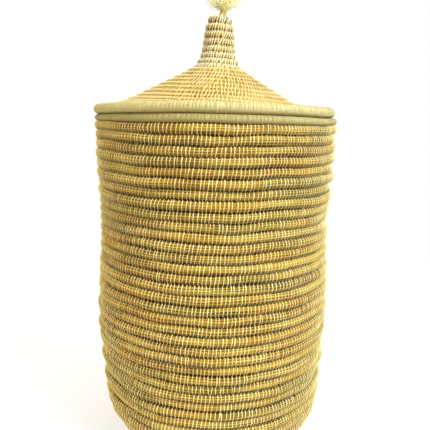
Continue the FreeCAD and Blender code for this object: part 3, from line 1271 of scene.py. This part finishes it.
@dataclass
class Tuft:
    """Loose raffia coming out of the top of the neck."""

    finishes: Finishes
    sections: int = 14
    stem_side: float = 5.5 * MM
    stem_lean: float = math.radians(22)
    stem_length: float = 14 * MM
    stem_radius: float = 4 * MM
    droop: float = 0.35
    oval: float = 0.15
    seed: int = 5
    core: Wisps = Wisps(90, 2.6 * MM, (30 * MM, 54 * MM), (0.85, 1.5), 0.35, 0.7)
    fluff: Wisps = Wisps(400, 0.95 * MM, (34 * MM, 60 * MM), (0.36, 1.42), 0.9, 2.2)
    stem: Wisps = Wisps(70, 2.2 * MM, (11 * MM, 12.5 * MM), (1.2, 1.5), 0.1, 0.5, 0.7)

    def build(self) -> None:
        """Builds the fluff, the core and the stem under them."""
        chance = np.random.default_rng(self.seed)
        start = Vector((self.stem_side, 0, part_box("tuft")[0].z))
        low = start - self.heading() * self.stem_length
        template = self.strip()
        fluff = self.grow("tuft_wisps", template, self.fluff, start, chance)
        dress(fluff, self.finishes.tuft_raffia, Body.TASSEL, ("tuft",))
        core = self.grow("tuft_core", template, self.core, start, chance)
        dress(core, self.finishes.tuft_core, Body.TASSEL)
        stem = self.grow("tuft_stem", template, self.stem, low, chance)
        dress(stem, self.finishes.tuft_core, Body.LID, ("tuft_knot",))
        bpy.data.objects.remove(template)

    def heading(self) -> Vector:
        """The way that the stem leans."""
        return Vector((math.sin(self.stem_lean), 0, math.cos(self.stem_lean)))

    def strip(self) -> bpy.types.Object:
        """A straight strip along Z, one unit to each section."""
        deselect()
        bpy.ops.mesh.primitive_cylinder_add(
            vertices=4, radius=0.5, depth=1.0, location=(0, 0, 0.5), end_fill_type="NGON"
        )
        made = bpy.context.active_object
        place_at_origin(made)
        modifier = made.modifiers.new("sections", "ARRAY")
        modifier.count = self.sections
        modifier.use_relative_offset = False
        modifier.use_constant_offset = True
        modifier.constant_offset_displace = (0, 0, 1)
        modifier.use_merge_vertices = True
        apply_modifiers(made)
        store(made, RISE, 2 * read_points(made)[:, 2] / self.sections - 1)
        return made

    def paths(
        self, kind: Wisps, start: Vector, chance: np.random.Generator
    ) -> np.ndarray:
        """The lines of all strands of a kind: up the stem, then out in curls.

        Args:
            kind: the kind of strand.
            start: the middle of the stem's foot.
            chance: where the spread comes from.

        Returns:
            Points by strand and section.
        """
        count = kind.count
        shares = np.linspace(0, 1, self.sections + 1)[None, :, None]
        turn = chance.uniform(0, FULL_TURN, count)
        lift = chance.uniform(*kind.lift, count)
        length = chance.uniform(*kind.length, count) * (1 + self.oval * np.cos(2 * turn))
        outward = np.stack(
            [np.cos(turn) * np.cos(lift), np.sin(turn) * np.cos(lift), np.sin(lift)], 1
        )
        across = np.stack([-np.sin(turn), np.cos(turn), np.zeros(count)], 1)
        over = np.cross(outward, across)
        phase = chance.uniform(0, FULL_TURN, (count, 1, 1))
        winds = kind.turns * chance.uniform(0.5, 1.3, (count, 1, 1))
        winding = phase + FULL_TURN * winds * shares
        stem_share = (self.stem_length / length)[:, None, None]
        freed = ((shares - stem_share * 0.6) / 0.3).clip(0, 1)
        curl = kind.curl * chance.uniform(0.4, 1.3, (count, 1, 1)) * freed
        heading = (
            np.array(self.heading()) * (1 - freed)
            + outward[:, None, :] * freed
            + across[:, None, :] * np.cos(winding) * curl
            + over[:, None, :] * np.sin(winding) * curl
            + np.array((0, 0, -self.droop)) * freed * shares**2
        )
        heading /= np.linalg.norm(heading, axis=2)[:, :, None]
        steps = heading * (length / self.sections)[:, None, None]
        steps[:, 0] = 0
        ring = self.stem_radius * np.sqrt(chance.uniform(0, 1, count))
        foot = np.stack([ring * np.cos(turn), ring * np.sin(turn), np.zeros(count)], 1)
        wide = 1 + kind.gather * (1 - shares / stem_share).clip(0, 1)
        return np.array(start) + foot[:, None, :] * wide + np.cumsum(steps, axis=1)

    def grow(
        self,
        name: str,
        template: bpy.types.Object,
        kind: Wisps,
        start: Vector,
        chance: np.random.Generator,
    ) -> bpy.types.Object:
        """All strands of a kind: copies of the strip, each bent along its path.

        Args:
            name: the piece's name.
            template: the straight strip.
            kind: the kind of strand.
            start: the middle of the stem's foot.
            chance: where the paths and twists come from.

        Returns:
            The piece.
        """
        paths = self.paths(kind, start, chance)
        made = copies(name, template, np.tile(np.eye(4), (len(paths), 1, 1)), chance)
        local = np.array([vertex.co for vertex in template.data.vertices])
        level = local[:, 2].round().astype(int)
        taper = 1 - 0.7 * np.linspace(0, 1, self.sections + 1) ** 3
        flatness = 0.25
        bent = []
        for line in paths:
            heading = np.gradient(line, axis=0)
            heading /= np.linalg.norm(heading, axis=1)[:, None]
            side = np.cross(heading, (0.3, 0.2, 1.0))
            side /= np.linalg.norm(side, axis=1)[:, None] + 1e-9
            flat = np.cross(heading, side)
            spin = chance.uniform(0, math.pi) + np.linspace(0, chance.uniform(-1, 1), len(line))
            wide = side * np.cos(spin)[:, None] + flat * np.sin(spin)[:, None]
            thin = np.cross(heading, wide)
            size = kind.width * chance.uniform(0.6, 1.2) * taper[level]
            across = wide[level] * (local[:, 0] * size)[:, None]
            through = thin[level] * (local[:, 1] * size * flatness)[:, None]
            bent.append(line[level] + across + through)
        write_points(made, np.concatenate(bent))
        return made


@dataclass(frozen=True)
class Lamp:
    """A square area light that faces the middle of the basket."""

    name: str
    place: Place
    size: float
    power: float
    colour: Colour
    target: Place = (0, 0, 0.4)

    def build(self) -> None:
        """Hangs it."""
        data = bpy.data.lights.new(self.name, "AREA")
        data.size = self.size
        data.energy = self.power
        data.color = self.colour
        lamp = bpy.data.objects.new(self.name, data)
        bpy.context.scene.collection.objects.link(lamp)
        lamp.location = self.place
        towards = Vector(self.target) - Vector(self.place)
        lamp.rotation_euler = towards.to_track_quat("-Z", "Y").to_euler()


@dataclass
class Studio:
    """The floor, the lights and the camera."""

    camera_side: float = 1.8 * MM
    camera_distance: float = 0.923
    camera_height: float = 0.6085
    camera_pitch: float = math.radians(90 - 11.49)
    camera_roll: float = math.radians(1.2)
    lens: float = 42.65
    sensor: float = 36.0
    ambient: float = 0.2
    floor_radius: float = 1.6
    floor_grey: Colour = (186, 186, 184)
    floor_glow: float = 0.66
    floor_fade: Pair = (0.35, 0.95)
    lamps: tuple[Lamp, ...] = (
        Lamp("key", (1.3, -1.3, 2.3), 0.9, 46.5, (1.0, 0.99, 0.97)),
        Lamp("fill", (-2.2, -1.6, 1.3), 2.0, 52.0, (1.0, 0.83, 0.52)),
        Lamp("side", (2.2, -0.9, 1.2), 1.6, 48.0, (0.95, 1.0, 0.95)),
        Lamp("top", (0.1, 0.2, 2.8), 1.4, 30.0, (1.0, 1.0, 1.0)),
    )

    def build(self) -> None:
        """Sets it all up."""
        self.floor()
        for lamp in self.lamps:
            lamp.build()
        self.sky()
        bpy.context.scene.view_settings.view_transform = "Standard"
        self.camera()

    def camera(self) -> None:
        """Looks slightly down on the lid, from the front."""
        data = bpy.data.cameras.new("camera")
        data.lens = self.lens
        data.sensor_width = self.sensor
        holder = bpy.data.objects.new("camera", data)
        bpy.context.scene.collection.objects.link(holder)
        holder.matrix_world = (
            Matrix.Translation((self.camera_side, -self.camera_distance, self.camera_height))
            @ Matrix.Rotation(self.camera_pitch, 4, "X")
            @ Matrix.Rotation(self.camera_roll, 4, "Z")
        )
        bpy.context.scene.camera = holder

    def sky(self) -> None:
        """A surround that is seen as white and lights the basket only softly."""
        world = bpy.data.worlds.new("studio")
        bpy.context.scene.world = world
        world.use_nodes = True
        tree = world.node_tree
        tree.nodes.clear()
        path = tree.nodes.new("ShaderNodeLightPath")
        choice = tree.nodes.new("ShaderNodeMixShader")
        output = tree.nodes.new("ShaderNodeOutputWorld")
        tree.links.new(path.outputs["Is Camera Ray"], choice.inputs[0])
        for socket, strength in ((1, self.ambient), (2, 1.0)):
            white = tree.nodes.new("ShaderNodeBackground")
            white.inputs["Color"].default_value = (1, 1, 1, 1)
            white.inputs["Strength"].default_value = strength
            tree.links.new(white.outputs[0], choice.inputs[socket])
        tree.links.new(choice.outputs[0], output.inputs["Surface"])

    def floor(self) -> bpy.types.Object:
        """A pale round floor that fades out at its edge."""
        deselect()
        bpy.ops.mesh.primitive_circle_add(
            vertices=96, radius=self.floor_radius, fill_type="NGON", location=(0, 0, -0.2 * MM)
        )
        made = bpy.context.active_object
        made.name = "floor"
        shader = Shader("pale_floor")
        place = shader.coordinates("Object").times((1.0, 1.0, 0.0))
        span = shader.node("ShaderNodeVectorMath", {"operation": "LENGTH"}, {0: place})
        fade = span.between(*(self.floor_radius * share for share in self.floor_fade))
        shader.surface(
            {
                "Base Color": rgb(*self.floor_grey),
                "Roughness": 0.9,
                "Emission Color": (1, 1, 1, 1),
                "Emission Strength": self.floor_glow,
                "Alpha": 1.0 - fade,
            }
        )
        made.data.materials.append(shader.material)
        return made


def main() -> None:
    """Builds the object and the studio round it."""
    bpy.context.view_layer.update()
    finishes = Finishes()
    hands = HandWork()
    Basket(hands, finishes).build()
    Lid(hands, finishes).build()
    Tuft(finishes).build()
    Studio().build()


if __name__ == "__main__":
    main()
